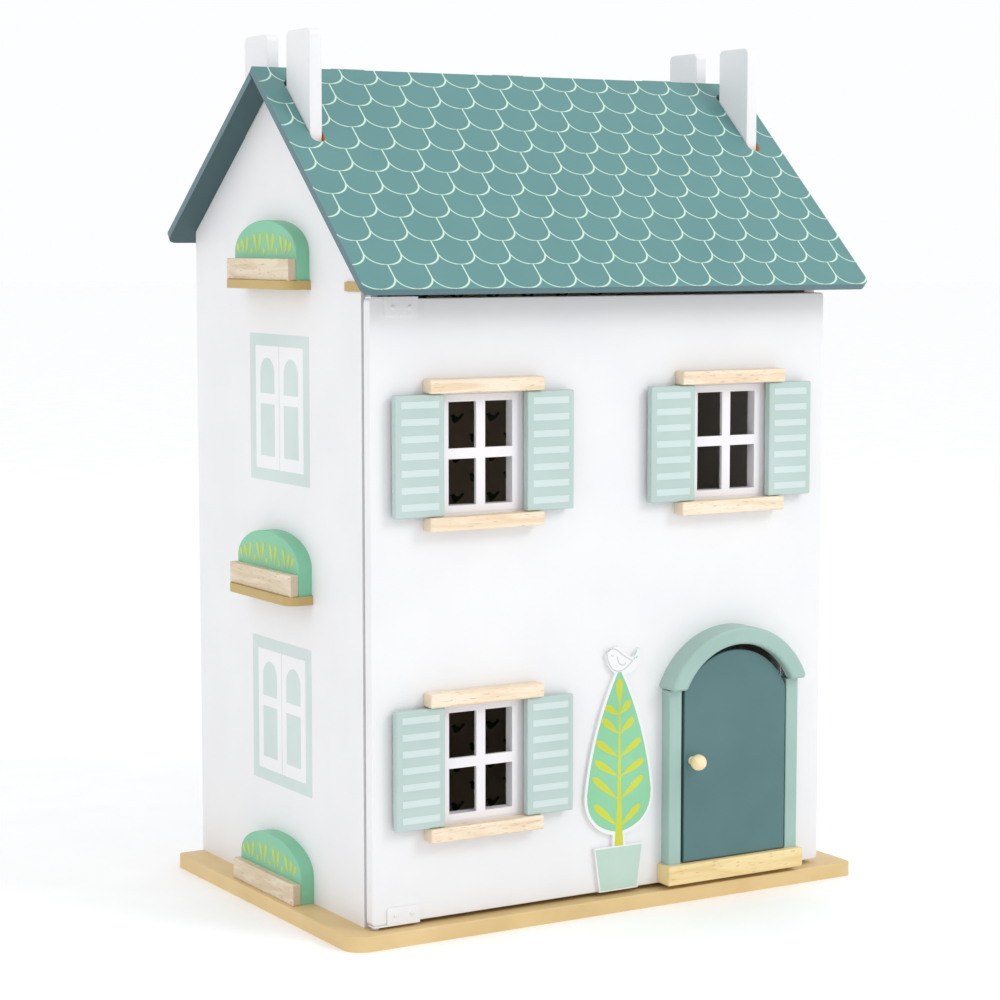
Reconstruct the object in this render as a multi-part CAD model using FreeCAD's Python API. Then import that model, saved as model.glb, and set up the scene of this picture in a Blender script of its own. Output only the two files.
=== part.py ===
"""Wooden doll's house with a swinging front, an opening door, six shutters and a lifting roof panel.

Origin: centre of the base board's underside. +X to the right, +Y to the back, +Z up. Millimetres.
"""
import FreeCAD, Part
import math
import os

V = FreeCAD.Vector
X_AXIS = V(1, 0, 0)
Y_AXIS = V(0, 1, 0)
Z_AXIS = V(0, 0, 1)

# ---------------------------------------------------------------- driving dimensions
HOUSE_W = 427.0          # over the outer faces of the two gable walls
HOUSE_D = 310.0          # front face of the swinging front to the back wall's outer face
BASE_T = 12.0
BASE_LEFT = 23.5         # the base board stands out this far at the left
BASE_RIGHT = 27.5
BASE_FRONT = 12.0
BASE_BACK = 0.5
BASE_HINGE_R = 16.0      # corner under the swinging front's pivots
BASE_CORNER_R = 5.0      # the other three corners
WALL_T = 10.5
BACK_T = 6.0
FLOOR_T = 7.0
STOREY = 240.0           # clear height of a room
FACADE_T = 9.0
FACADE_GAP = 4.0         # swinging front to the gable walls' front edges
FACADE_BOTTOM = 15.5
FACADE_TOP = 494.0
EASE = 1.0               # eased edges of painted boards

APEX_Z = 664.5           # where the undersides of the two roof panels meet
FRONT_PITCH = 42.5
BACK_PITCH = 37.5
ROOF_T = 6.0
ROOF_END = 21.5          # the roof stands out this far past each gable wall
FRONT_SLOPE = 248.0      # underside length from the apex to the front eave
BACK_SLOPE = 213.0       # the same to the back eave
ROOF_CORNER_R = 8.0
ROOF_SEAT = 0.3          # the lifting panel clears the gable walls by this

CHIMNEY_IN = 17.0        # from the ridge to a chimney's near side
CHIMNEY_OUT = 58.0
CHIMNEY_TOP = 700.0
CHIMNEY_R = 5.0
SLOT_W = 12.0            # roof slots that the chimneys stand in
FRONT_SLOT = (9.4, 83.2)    # slot ends, down the slope from the apex
BACK_SLOT = (13.0, 76.7)

LEDGE_OUT = 22.0         # floor board tabs that stand out as window ledges
LEDGE_HALF = 57.0
LEDGE_R = 10.0
TAB_FIT = 0.15           # gap round a tab in its wall slot

PLANT_HALF = 55.0
PLANT_H = 47.0
PLANT_SHOULDER = 22.0    # straight part of the plant board's sides
PLANT_T = 12.0
TROUGH_H = 17.0
TROUGH_T = 7.0

LEFT_X = -117.5          # centre of the two left windows
RIGHT_X = 114.5          # centre of the right window
DOOR_X = 117.5           # centre of the door
WINDOW_W = 68.0
WINDOW_H = 90.5
SHUTTER_GAP = 94.0       # sill top to lintel underside
UPPER_SILL_Z = 328.0     # top of a sill
LOWER_SILL_Z = 88.0
LINTEL_W = 101.5
LINTEL_H = 11.0
LINTEL_D = 12.8
MULLION = 8.0
GLAZING_T = 3.0          # the glazing bars are thinner than the frame
FRAME_PROUD = 0.5
FRAME_SIDE = 5.5
SHUTTER_W = 42.5
SHUTTER_T = 6.5
SHUTTER_INNER = 37.0     # shutter's inner edge, from the window's centre line
PIN_OUT = LINTEL_D / 2   # shutter pin from the front's face
PIN_INSET = 3.0          # shutter pin from the shutter's inner edge
PIN_R = 0.8
PIN_FIT = 0.06

DOOR_HALF = 52.8         # between door centre line and a jamb's inner side
JAMB_W = 12.0
JAMB_T = 6.0
ARCH_CENTRE_Z = 151.5
ARCH_R_IN = 58.0
ARCH_R_OUT = 72.5
ARCH_FOOT_Z = 176.0
ARCH_D = 21.0
REBATE_R = 65.5          # hollow behind the arch's front lip, where the leaf turns
REBATE_D = 12.4
DOORWAY_R = 68.5         # round top of the doorway in the front
STEP_HALF = 68.0
STEP_Z = 16.0
STEP_TOP = 32.0
STEP_D = 17.0
LEAF_T = 6.0
LEAF_LEFT = 50.0         # door leaf's knob side, from the door's centre line
LEAF_RIGHT = 51.7
LEAF_R = 56.5            # round top of the leaf, about a lower centre than the arch
LEAF_CENTRE_Z = 147.7
LEAF_GAP = 0.8           # under the leaf
KNOB_X = 42.7
KNOB_Z = 116.5
KNOB_R = 6.5

TREE_X = 10.0
TREE_T = 3.0

SCREW_R = 1.6            # countersunk wood screws through the base and the back roof panel
HEAD_R = 3.3
SCREW_BITE = 12.0        # screw length inside a wall

# ---------------------------------------------------------------- places worked out from them
HALF_W = HOUSE_W / 2
INNER_HALF = HALF_W - WALL_T
FRONT_Y = -153.0         # the swinging front's outer face
FACADE_BACK_Y = FRONT_Y + FACADE_T
GABLE_FRONT_Y = FACADE_BACK_Y + FACADE_GAP
BACK_Y = FRONT_Y + HOUSE_D
ROOM_BACK_Y = BACK_Y - BACK_T
RIDGE_Y = 0.0
FIRST_FLOOR_Z = BASE_T + STOREY
ATTIC_FLOOR_Z = FIRST_FLOOR_Z + FLOOR_T + STOREY
FRONT_A = math.radians(FRONT_PITCH)
BACK_A = math.radians(BACK_PITCH)
PIVOT_INSET = FACADE_T / 2
PIVOT_X = -HALF_W + PIVOT_INSET
PIVOT_Y = FRONT_Y + PIVOT_INSET
PIVOT_R = 1.5
PIVOT_HOLE_R = 1.56
LEAF_BACK_Y = FRONT_Y - JAMB_T
LEAF_FRONT_Y = LEAF_BACK_Y - LEAF_T


# ---------------------------------------------------------------- shape helpers
def box(x0, x1, y0, y1, z0, z1):
    return Part.makeBox(x1 - x0, y1 - y0, z1 - z0, V(x0, y0, z0))


def eased_box(x0, x1, y0, y1, z0, z1, radius):
    block = box(x0, x1, y0, y1, z0, z1)
    return block.makeFillet(radius, block.Edges)


def cylinder(radius, start, direction, length):
    return Part.makeCylinder(radius, length, start, direction)


def ease(shape, radius, wanted):
    """Round the edges whose middle point the test picks."""
    edges = [edge for edge in shape.Edges if wanted(edge)]
    return shape.makeFillet(radius, edges) if edges else shape


def middle(edge):
    return edge.valueAt((edge.FirstParameter + edge.LastParameter) / 2)


def upright(edge):
    tangent = edge.tangentAt(edge.FirstParameter)
    return abs(tangent.z) > 0.999


def along_x(edge):
    tangent = edge.tangentAt(edge.FirstParameter)
    return abs(tangent.x) > 0.999


def prism_x(points, x0, x1):
    """Extrude a closed outline of (y, z) points from x0 to x1."""
    wire = Part.makePolygon([V(x0, y, z) for y, z in points + points[:1]])
    return Part.Face(wire).extrude(V(x1 - x0, 0, 0))


def board_from_edges(edges, thrust):
    wire = Part.Wire(Part.__sortEdges__(edges))
    return Part.Face(wire).extrude(thrust)


def arc(a, b, c):
    return Part.Arc(a, b, c).toShape()


def line(a, b):
    return Part.LineSegment(a, b).toShape()


def ring_point(radius, angle, y):
    return V(DOOR_X + radius * math.cos(angle), y, ARCH_CENTRE_Z + radius * math.sin(angle))


def crown_z(radius, centre_z, offset):
    """Height of an arc at a level distance from its centre line."""
    return centre_z + math.sqrt(radius ** 2 - offset ** 2)


# ---------------------------------------------------------------- roof frame of reference
def front_point(down, out):
    """Point on the front slope's section: down the underside from the apex, and out from it."""
    y = RIDGE_Y - down * math.cos(FRONT_A) - out * math.sin(FRONT_A)
    z = APEX_Z - down * math.sin(FRONT_A) + out * math.cos(FRONT_A)
    return y, z


def back_point(down, out):
    y = RIDGE_Y + down * math.cos(BACK_A) + out * math.sin(BACK_A)
    z = APEX_Z - down * math.sin(BACK_A) + out * math.cos(BACK_A)
    return y, z


def on_front(down, out, x):
    y, z = front_point(down, out)
    return V(x, y, z)


def on_back(down, out, x):
    y, z = back_point(down, out)
    return V(x, y, z)


def slope_slot(place, down_0, down_1, x):
    """A slot with round ends through a roof panel, cut square to the slope."""
    radius = SLOT_W / 2
    below, above = -2.0, ROOF_T + 2.0
    rise = place(0, 1, 0) - place(0, 0, 0)
    a, b = down_0 + radius, down_1 - radius
    corners = [place(a, below, x - radius), place(b, below, x - radius)]
    corners += [place(b, below, x + radius), place(a, below, x + radius)]
    end_0, end_1 = place(down_0, below, x), place(down_1, below, x)
    edges = [line(corners[0], corners[1]), arc(corners[1], end_1, corners[2])]
    edges += [line(corners[2], corners[3]), arc(corners[3], end_0, corners[0])]
    return board_from_edges(edges, rise * (above - below))


def roof_panel(place, down_0, down_1, slots):
    x0, x1 = -HALF_W - ROOF_END, HALF_W + ROOF_END
    corners = [place(down_0, 0, x0), place(down_1, 0, x0), place(down_1, 0, x1), place(down_0, 0, x1)]
    rise = place(0, 1, 0) - place(0, 0, 0)
    panel = Part.Face(Part.makePolygon(corners + corners[:1])).extrude(rise * ROOF_T)
    eave_z = place(down_1, ROOF_T / 2, 0).z
    def at_eave_corner(edge):
        return not along_x(edge) and abs(middle(edge).z - eave_z) < 0.5
    panel = ease(panel, ROOF_CORNER_R, at_eave_corner)
    for slot in slots:
        panel = panel.cut(slot)
    return panel


# ---------------------------------------------------------------- carcass
def base_screw_places():
    places = []
    for side in (-1, 1):
        for y in (-110.0, 0.0, 120.0):
            places.append((side * (HALF_W - WALL_T / 2), y))
    return places


def at_hinge(edge):
    """True for the base's front left corner."""
    return middle(edge).x < -HALF_W - 10 and middle(edge).y < FRONT_Y - 5


def base_board():
    x0, x1 = -HALF_W - BASE_LEFT, HALF_W + BASE_RIGHT
    board = box(x0, x1, FRONT_Y - BASE_FRONT, BACK_Y + BASE_BACK, 0, BASE_T)
    board = ease(board, BASE_CORNER_R, lambda edge: upright(edge) and not at_hinge(edge))
    board = ease(board, BASE_HINGE_R, lambda edge: upright(edge) and at_hinge(edge))
    board = ease(board, EASE, lambda edge: middle(edge).z > BASE_T - 0.01)
    for x, y in base_screw_places():
        board = board.cut(cylinder(SCREW_R, V(x, y, 0), Z_AXIS, BASE_T))
        board = board.cut(Part.makeCone(HEAD_R + 0.1, SCREW_R, 2.4, V(x, y, 0), Z_AXIS))
    return board.cut(cylinder(PIVOT_HOLE_R, V(PIVOT_X, PIVOT_Y, BASE_T - 8), Z_AXIS, 8))


def gable_outline():
    seat = ROOF_SEAT / math.cos(FRONT_A)
    front_z = APEX_Z - seat + (GABLE_FRONT_Y - RIDGE_Y) * math.tan(FRONT_A)
    back_z = APEX_Z - (BACK_Y - RIDGE_Y) * math.tan(BACK_A)
    apex_y = RIDGE_Y + seat / (math.tan(FRONT_A) + math.tan(BACK_A))
    apex_z = APEX_Z - (apex_y - RIDGE_Y) * math.tan(BACK_A)
    outline = [(GABLE_FRONT_Y, BASE_T), (BACK_Y, BASE_T), (BACK_Y, back_z)]
    return outline + [(apex_y, apex_z), (GABLE_FRONT_Y, front_z)]


def chimney(x0, side):
    near, far = sorted((side * CHIMNEY_IN, side * CHIMNEY_OUT))
    stack = box(x0, x0 + WALL_T, near, far, APEX_Z - 70, CHIMNEY_TOP)
    stack = ease(stack, CHIMNEY_R, lambda edge: along_x(edge) and middle(edge).z > CHIMNEY_TOP - 1)
    return ease(stack, EASE, lambda edge: middle(edge).z > APEX_Z - 69 and not along_x(edge))


def gable_wall(side):
    x0 = min(side * HALF_W, side * INNER_HALF)
    wall = prism_x(gable_outline(), x0, x0 + WALL_T)
    for chimney_side in (-1, 1):
        wall = wall.fuse(chimney(x0, chimney_side))
    wall = wall.removeSplitter()
    reach = x0 - 1, x0 + WALL_T + 1
    for floor_z in (FIRST_FLOOR_Z, ATTIC_FLOOR_Z):
        low, high = floor_z - TAB_FIT, floor_z + FLOOR_T + TAB_FIT
        half = LEDGE_HALF + TAB_FIT
        wall = wall.cut(box(*reach, -half, half, low, high))
    low, high = ATTIC_FLOOR_Z - TAB_FIT, ATTIC_FLOOR_Z + FLOOR_T + TAB_FIT
    wall = wall.cut(box(*reach, GABLE_FRONT_Y - 1, EAR_BACK_Y + TAB_FIT, low, high))
    for x, y in base_screw_places():
        if x * side > 0:
            wall = wall.cut(cylinder(SCREW_R, V(x, y, BASE_T), Z_AXIS, SCREW_BITE + 1))
    if side > 0:
        wall = wall.cut(cylinder(MAGNET_R, V(CATCH_X, GABLE_FRONT_Y, CATCH_Z), Y_AXIS, MAGNET_DEPTH))
    return wall


def back_wall():
    top = APEX_Z - (BACK_Y - RIDGE_Y) * math.tan(BACK_A) - ROOF_SEAT
    return box(-INNER_HALF, INNER_HALF, ROOM_BACK_Y, BACK_Y, BASE_T, top)


EAR_BACK_Y = GABLE_FRONT_Y + 23.0    # back end of the attic floor's front ears
EAR_OUT = 2.0                        # the ears stand out from the gable walls by this
EAR_IN = 18.0


def ledge(side, z):
    """The tab of a floor board that passes through a gable wall and makes a planter ledge."""
    x0, x1 = sorted((side * (INNER_HALF - 5), side * (HALF_W + LEDGE_OUT)))
    tab = box(x0, x1, -LEDGE_HALF, LEDGE_HALF, z, z + FLOOR_T)
    return ease(tab, LEDGE_R, lambda edge: upright(edge) and abs(middle(edge).x) > HALF_W)


def floor_board(z):
    board = box(-INNER_HALF, INNER_HALF, GABLE_FRONT_Y, ROOM_BACK_Y, z, z + FLOOR_T)
    for side in (-1, 1):
        board = board.fuse(ledge(side, z))
    return board.removeSplitter()


def attic_floor_board():
    """Its front ears pass over the swinging front's top corners; the left one holds the top pivot."""
    board = floor_board(ATTIC_FLOOR_Z)
    top = ATTIC_FLOOR_Z + FLOOR_T
    for side in (-1, 1):
        x0, x1 = sorted((side * (HALF_W + EAR_OUT), side * (HALF_W - EAR_IN)))
        ear = box(x0, x1, FRONT_Y + 0.5, EAR_BACK_Y, ATTIC_FLOOR_Z, top)
        ear = ease(ear, 3.0, lambda edge: upright(edge) and middle(edge).y < GABLE_FRONT_Y)
        board = board.fuse(ear)
    board = board.removeSplitter()
    return board.cut(cylinder(PIVOT_HOLE_R, V(PIVOT_X, PIVOT_Y, ATTIC_FLOOR_Z - 1), Z_AXIS, FLOOR_T + 2))


def wallpaper_panels():
    """A printed sheet on the back wall of each of the two lower rooms."""
    sheets = []
    for floor_z in (BASE_T, FIRST_FLOOR_Z + FLOOR_T):
        sheet = box(-INNER_HALF + 0.5, INNER_HALF - 0.5, ROOM_BACK_Y - 0.6, ROOM_BACK_Y,
                    floor_z + 0.5, floor_z + STOREY - 0.5)
        sheets.append(sheet)
    return sheets


def base_screws():
    screws = []
    for x, y in base_screw_places():
        head = Part.makeCone(HEAD_R, SCREW_R, 2.3, V(x, y, 0.1), Z_AXIS)
        shank = cylinder(SCREW_R, V(x, y, 1.0), Z_AXIS, BASE_T + SCREW_BITE - 1)
        cross = box(x - 2, x + 2, y - 0.4, y + 0.4, 0, 1.2)
        cross = cross.fuse(box(x - 0.4, x + 0.4, y - 2, y + 2, 0, 1.2))
        screws.append(head.fuse(shank).cut(cross))
    return screws


# ---------------------------------------------------------------- roof
BACK_START = 1.3                     # the back panel starts this far below the apex
HINGE_GAP = 1.75                     # hinge axis to both leaves' seats
HINGE_X = (-150.0, 0.0, 150.0)
LEAF_LEN = 30.0
HINGE_LEAF_T = 0.8
KNUCKLE_R = 1.6
HINGE_PIN_R = 0.7
HINGE_SCREW_X = 10.0
SMALL_HEAD_R = 1.5                   # small screws of the hinges and the pivot brackets
SMALL_HEAD_H = 0.8
SMALL_SHANK_R = 0.8
SMALL_SCREW_L = 5.5
FIXED_LEAF_W = 13.0
MOVING_LEAF_W = 5.4


def chimney_centre(side):
    return side * (HALF_W - WALL_T / 2)


def roof_front_panel():
    """The lifting panel: its top end laps over the back panel, and it has slots for the chimneys."""
    slots = [slope_slot(on_front, *FRONT_SLOT, chimney_centre(side)) for side in (-1, 1)]
    panel = roof_panel(on_front, -ROOF_T, FRONT_SLOPE, slots)
    return drilled(panel, moving_leaf_seats(), FRONT_UP)


def roof_back_panel():
    slots = [slope_slot(on_back, *BACK_SLOT, chimney_centre(side)) for side in (-1, 1)]
    panel = roof_panel(on_back, BACK_START, BACK_SLOPE, slots)
    for x, down in roof_screw_places():
        panel = panel.cut(cylinder(SCREW_R, on_back(down, -1, x), BACK_RISE, ROOF_T + 2))
        sink = on_back(down, ROOF_T - 2.4, x)
        panel = panel.cut(Part.makeCone(SCREW_R, HEAD_R + 0.1, 2.4, sink, BACK_RISE))
    return drilled(panel, fixed_leaf_seats(), BACK_RISE)


def roof_screw_places():
    return [(chimney_centre(side), down) for side in (-1, 1) for down in (92.0, 180.0)]


def roof_screws():
    """Countersunk screws that fix the back panel to the sloping edges of the gable walls."""
    screws = []
    for x, down in roof_screw_places():
        head = Part.makeCone(SCREW_R, HEAD_R, 2.3, on_back(down, ROOF_T - 2.4, x), BACK_RISE)
        shank = cylinder(SCREW_R, on_back(down, -SCREW_BITE, x), BACK_RISE, SCREW_BITE + ROOF_T - 1)
        tip = on_back(down, ROOF_T - 1.3, x)
        cross = Part.makeBox(4, 0.8, 3, V(-2, -0.4, 0))
        cross = cross.fuse(Part.makeBox(0.8, 4, 3, V(-0.4, -2, 0)))
        cross.Placement = FreeCAD.Placement(tip, FreeCAD.Rotation(Z_AXIS, BACK_RISE))
        screws.append(head.fuse(shank).cut(cross))
    return screws


def drill_for_roof(wall, side):
    for x, down in roof_screw_places():
        if x * side > 0:
            wall = wall.cut(cylinder(SCREW_R, on_back(down, -SCREW_BITE, x), BACK_RISE, SCREW_BITE + 1))
    return wall


FRONT_RISE = on_front(0, 1, 0) - on_front(0, 0, 0)
BACK_RISE = on_back(0, 1, 0) - on_back(0, 0, 0)
FRONT_UP = on_front(-1, 0, 0) - on_front(0, 0, 0)
BACK_DOWN = on_back(1, 0, 0) - on_back(0, 0, 0)


def hinge_axis():
    """Centre line of the roof hinges: the same gap from the front panel's end and the back panel's face."""
    start = on_front(-ROOF_T - HINGE_GAP, 0, 0)
    short = HINGE_GAP - (start - on_back(0, ROOF_T, 0)).dot(BACK_RISE)
    return start + FRONT_RISE * (short / FRONT_RISE.dot(BACK_RISE))


def knuckle(x0, x1):
    axis = hinge_axis()
    return cylinder(KNUCKLE_R, V(x0, axis.y, axis.z), X_AXIS, x1 - x0)


def knuckle_bore(x0, x1, radius):
    axis = hinge_axis()
    return cylinder(radius, V(x0 - 1, axis.y, axis.z), X_AXIS, x1 - x0 + 2)


def flat_leaf(x, seat, run, rise, width):
    """A hinge leaf: starts beside the knuckle at seat and runs away from it on its panel."""
    start = seat + rise * 0.02
    half = LEAF_LEN / 2
    corners = [start - X_AXIS * half, start + X_AXIS * half]
    corners = [p + V(x, 0, 0) for p in corners]
    corners += [corners[1] + run * width, corners[0] + run * width]
    plate = Part.Face(Part.makePolygon(corners + corners[:1]))
    return plate.extrude(rise * HINGE_LEAF_T)


def hinge_leaf(x, run, rise, width, thirds):
    """One leaf with the knuckle barrels that stand in the given thirds of its length."""
    axis = hinge_axis()
    seat = axis - rise * HINGE_GAP
    plate = flat_leaf(x, seat, run, rise, width)
    third = LEAF_LEN / 3
    start = x - LEAF_LEN / 2
    for n in range(3):
        x0, x1 = start + n * third, start + (n + 1) * third
        if n in thirds:
            plate = plate.fuse(knuckle(x0 + 0.1, x1 - 0.1))
        else:
            plate = plate.cut(knuckle_bore(x0 + 1, x1 - 1, KNUCKLE_R + 0.25))
    return plate


def hinge_fixed_leaves():
    leaves = []
    for x in HINGE_X:
        leaf = hinge_leaf(x, BACK_DOWN, BACK_RISE, FIXED_LEAF_W, (0, 2))
        leaf = leaf.cut(knuckle_bore(x - LEAF_LEN / 2, x + LEAF_LEN / 2, HINGE_PIN_R))
        leaves.append(drilled(leaf, fixed_leaf_seats(), BACK_RISE))
    return leaves


def hinge_moving_leaves():
    leaves = []
    for x in HINGE_X:
        leaf = hinge_leaf(x, FRONT_RISE, FRONT_UP, MOVING_LEAF_W, (1,))
        leaf = leaf.cut(knuckle_bore(x - LEAF_LEN / 2, x + LEAF_LEN / 2, HINGE_PIN_R + PIN_FIT))
        leaves.append(drilled(leaf, moving_leaf_seats(), FRONT_UP))
    return leaves


def leaf_seats(run, rise, along):
    """Where the small screws' heads sit on the leaves that lie on one panel."""
    level = hinge_axis() - rise * (HINGE_GAP - HINGE_LEAF_T - 0.02) + run * along
    return [level + V(x + dx, 0, 0) for x in HINGE_X for dx in (-HINGE_SCREW_X, HINGE_SCREW_X)]


def fixed_leaf_seats():
    return leaf_seats(BACK_DOWN, BACK_RISE, FIXED_LEAF_W * 0.62)


def moving_leaf_seats():
    return leaf_seats(FRONT_RISE, FRONT_UP, MOVING_LEAF_W * 0.55)


def pan_screw(seat, out):
    """A small slotted pan-head screw with its head's underside at seat."""
    head = Part.makeCylinder(SMALL_HEAD_R, SMALL_HEAD_H)
    head = ease(head, SMALL_HEAD_H * 0.6, lambda edge: middle(edge).z > SMALL_HEAD_H * 0.9)
    slot_w = 0.4
    slot_corner = V(-2 * SMALL_HEAD_R, -slot_w / 2, SMALL_HEAD_H / 2)
    slot = Part.makeBox(4 * SMALL_HEAD_R, slot_w, SMALL_HEAD_H, slot_corner)
    shank = Part.makeCylinder(SMALL_SHANK_R, SMALL_SCREW_L, V(0, 0, -SMALL_SCREW_L))
    screw = head.fuse(shank).cut(slot)
    screw.Placement = FreeCAD.Placement(seat, FreeCAD.Rotation(Z_AXIS, out))
    return screw


def drilled(shape, seats, out):
    for seat in seats:
        shape = shape.cut(cylinder(SMALL_SHANK_R, seat - out * SMALL_SCREW_L, out, SMALL_SCREW_L + 2))
    return shape


def hinge_pins():
    axis = hinge_axis()
    length = LEAF_LEN - 0.4
    return [cylinder(HINGE_PIN_R, V(x - length / 2, axis.y, axis.z), X_AXIS, length) for x in HINGE_X]


# ---------------------------------------------------------------- planters on the gable walls
def planter_levels():
    return [BASE_T, FIRST_FLOOR_Z + FLOOR_T, ATTIC_FLOOR_Z + FLOOR_T]


def plant_board(side, z):
    """A half-round board of painted wood that stands on the ledge against the wall."""
    x0 = min(side * HALF_W, side * (HALF_W + PLANT_T))
    crown = PLANT_H - PLANT_SHOULDER
    ellipse = Part.Ellipse(V(0, 0, 0), PLANT_HALF, crown)
    half = Part.Arc(ellipse, 0, math.pi).toShape()
    turn = FreeCAD.Rotation(Y_AXIS, Z_AXIS, X_AXIS)
    half.Placement = FreeCAD.Placement(V(x0, 0, z + PLANT_SHOULDER), turn)
    ends = [half.valueAt(half.FirstParameter), half.valueAt(half.LastParameter)]
    feet = [V(x0, p.y, z) for p in ends]
    edges = [half, line(ends[0], feet[0]), line(feet[0], feet[1]), line(feet[1], ends[1])]
    board = board_from_edges(edges, V(PLANT_T, 0, 0))
    outer = side * (HALF_W + PLANT_T)
    return ease(board, EASE, lambda edge: abs(middle(edge).x - outer) < 0.01)


def trough(side, z):
    near, far = side * (HALF_W + PLANT_T), side * (HALF_W + PLANT_T + TROUGH_T)
    x0, x1 = sorted((near, far))
    return eased_box(x0, x1, -PLANT_HALF - 0.5, PLANT_HALF + 0.5, z, z + TROUGH_H, 0.8)


# ---------------------------------------------------------------- swinging front
def window_places():
    """Name, centre x and sill top of each window."""
    return [("upper_left", LEFT_X, UPPER_SILL_Z),
            ("upper_right", RIGHT_X, UPPER_SILL_Z),
            ("lower_left", LEFT_X, LOWER_SILL_Z)]


def window_bottom(sill_z):
    return sill_z + (SHUTTER_GAP - WINDOW_H) / 2


def doorway_cut():
    """The doorway in the panel: a rectangle with a round top, wide enough for the leaf to swing in."""
    y = FRONT_Y - 1
    shoulder = crown_z(DOORWAY_R, ARCH_CENTRE_Z, DOOR_HALF)
    top = ring_point(DOORWAY_R, math.pi / 2, y)
    left, right = V(DOOR_X - DOOR_HALF, y, shoulder), V(DOOR_X + DOOR_HALF, y, shoulder)
    low_left, low_right = V(DOOR_X - DOOR_HALF, y, STEP_TOP), V(DOOR_X + DOOR_HALF, y, STEP_TOP)
    edges = [arc(left, top, right), line(right, low_right)]
    edges += [line(low_right, low_left), line(low_left, left)]
    return board_from_edges(edges, V(0, FACADE_T + 2, 0))


def facade_panel():
    panel = box(-HALF_W, HALF_W, FRONT_Y, FACADE_BACK_Y, FACADE_BOTTOM, FACADE_TOP)
    def corner(edge):
        return abs(edge.tangentAt(edge.FirstParameter).y) > 0.999
    panel = ease(panel, 3.0, corner)
    panel = ease(panel, EASE, lambda edge: abs(middle(edge).y - FRONT_Y) < 0.01)
    for _, x, sill_z in window_places():
        low = window_bottom(sill_z)
        half = WINDOW_W / 2
        panel = panel.cut(box(x - half, x + half, FRONT_Y - 1, FACADE_BACK_Y + 1, low, low + WINDOW_H))
    panel = panel.cut(doorway_cut())
    for z in (FACADE_TOP - 8, FACADE_BOTTOM):
        panel = panel.cut(cylinder(PIVOT_R, V(PIVOT_X, PIVOT_Y, z), Z_AXIS, 8))
    return drilled(panel, bracket_seats(), -Y_AXIS)


def window_frame(x, sill_z):
    """A frame as deep as the front, with a thin cross of glazing bars near its face."""
    low = window_bottom(sill_z)
    half = WINDOW_W / 2
    face_y = FRONT_Y - FRAME_PROUD
    bar_y = face_y + GLAZING_T
    mid_z = low + WINDOW_H / 2
    left, right = x - half + FRAME_SIDE, x + half - FRAME_SIDE
    bottom, top = low + FRAME_SIDE, low + WINDOW_H - FRAME_SIDE
    frame = box(x - half, x + half, face_y, FACADE_BACK_Y, low, low + WINDOW_H)
    frame = frame.cut(box(left, right, face_y - 1, FACADE_BACK_Y + 1, bottom, top))
    upright_bar = box(x - MULLION / 2, x + MULLION / 2, face_y, bar_y, low + 1, low + WINDOW_H - 1)
    level_bar = box(x - half + 1, x + half - 1, face_y, bar_y, mid_z - MULLION / 2, mid_z + MULLION / 2)
    return frame.fuse(upright_bar).fuse(level_bar).removeSplitter()


def shutter_pin_x(x, side):
    return x + side * (SHUTTER_INNER + PIN_INSET)


def shutter_pin_y():
    return FRONT_Y - PIN_OUT


PIN_BITE = 5.0                       # pin length inside the lintel, the sill and the shutter


def rail_block(x, z0, z1):
    """A lintel or sill: a block of bare hardwood with eased edges."""
    return eased_box(x - LINTEL_W / 2, x + LINTEL_W / 2, FRONT_Y - LINTEL_D, FRONT_Y, z0, z1, 1.2)


def lintel(x, sill_z):
    low = sill_z + SHUTTER_GAP
    block = rail_block(x, low, low + LINTEL_H)
    for side in (-1, 1):
        hole = cylinder(PIN_R, V(shutter_pin_x(x, side), shutter_pin_y(), low), Z_AXIS, PIN_BITE)
        block = block.cut(hole)
    return block


def sill(x, sill_z):
    block = rail_block(x, sill_z - LINTEL_H, sill_z)
    for side in (-1, 1):
        start = V(shutter_pin_x(x, side), shutter_pin_y(), sill_z - PIN_BITE)
        block = block.cut(cylinder(PIN_R, start, Z_AXIS, PIN_BITE))
    return block


def shutter(x, sill_z, side):
    x0, x1 = sorted((x + side * SHUTTER_INNER, x + side * (SHUTTER_INNER + SHUTTER_W)))
    mid_y = shutter_pin_y()
    low, high = sill_z + 0.5, sill_z + SHUTTER_GAP - 0.5
    leaf = eased_box(x0, x1, mid_y - SHUTTER_T / 2, mid_y + SHUTTER_T / 2, low, high, EASE)
    for start in (low - 1, high - PIN_BITE - 0.5):
        foot = V(shutter_pin_x(x, side), mid_y, start)
        leaf = leaf.cut(cylinder(PIN_R + PIN_FIT, foot, Z_AXIS, PIN_BITE + 1.5))
    return leaf


def shutter_pins():
    pins = []
    for _, x, sill_z in window_places():
        for side in (-1, 1):
            for level in (sill_z, sill_z + SHUTTER_GAP):
                start = V(shutter_pin_x(x, side), shutter_pin_y(), level - PIN_BITE + 0.2)
                pins.append(cylinder(PIN_R, start, Z_AXIS, 2 * PIN_BITE - 0.4))
    return pins


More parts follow.
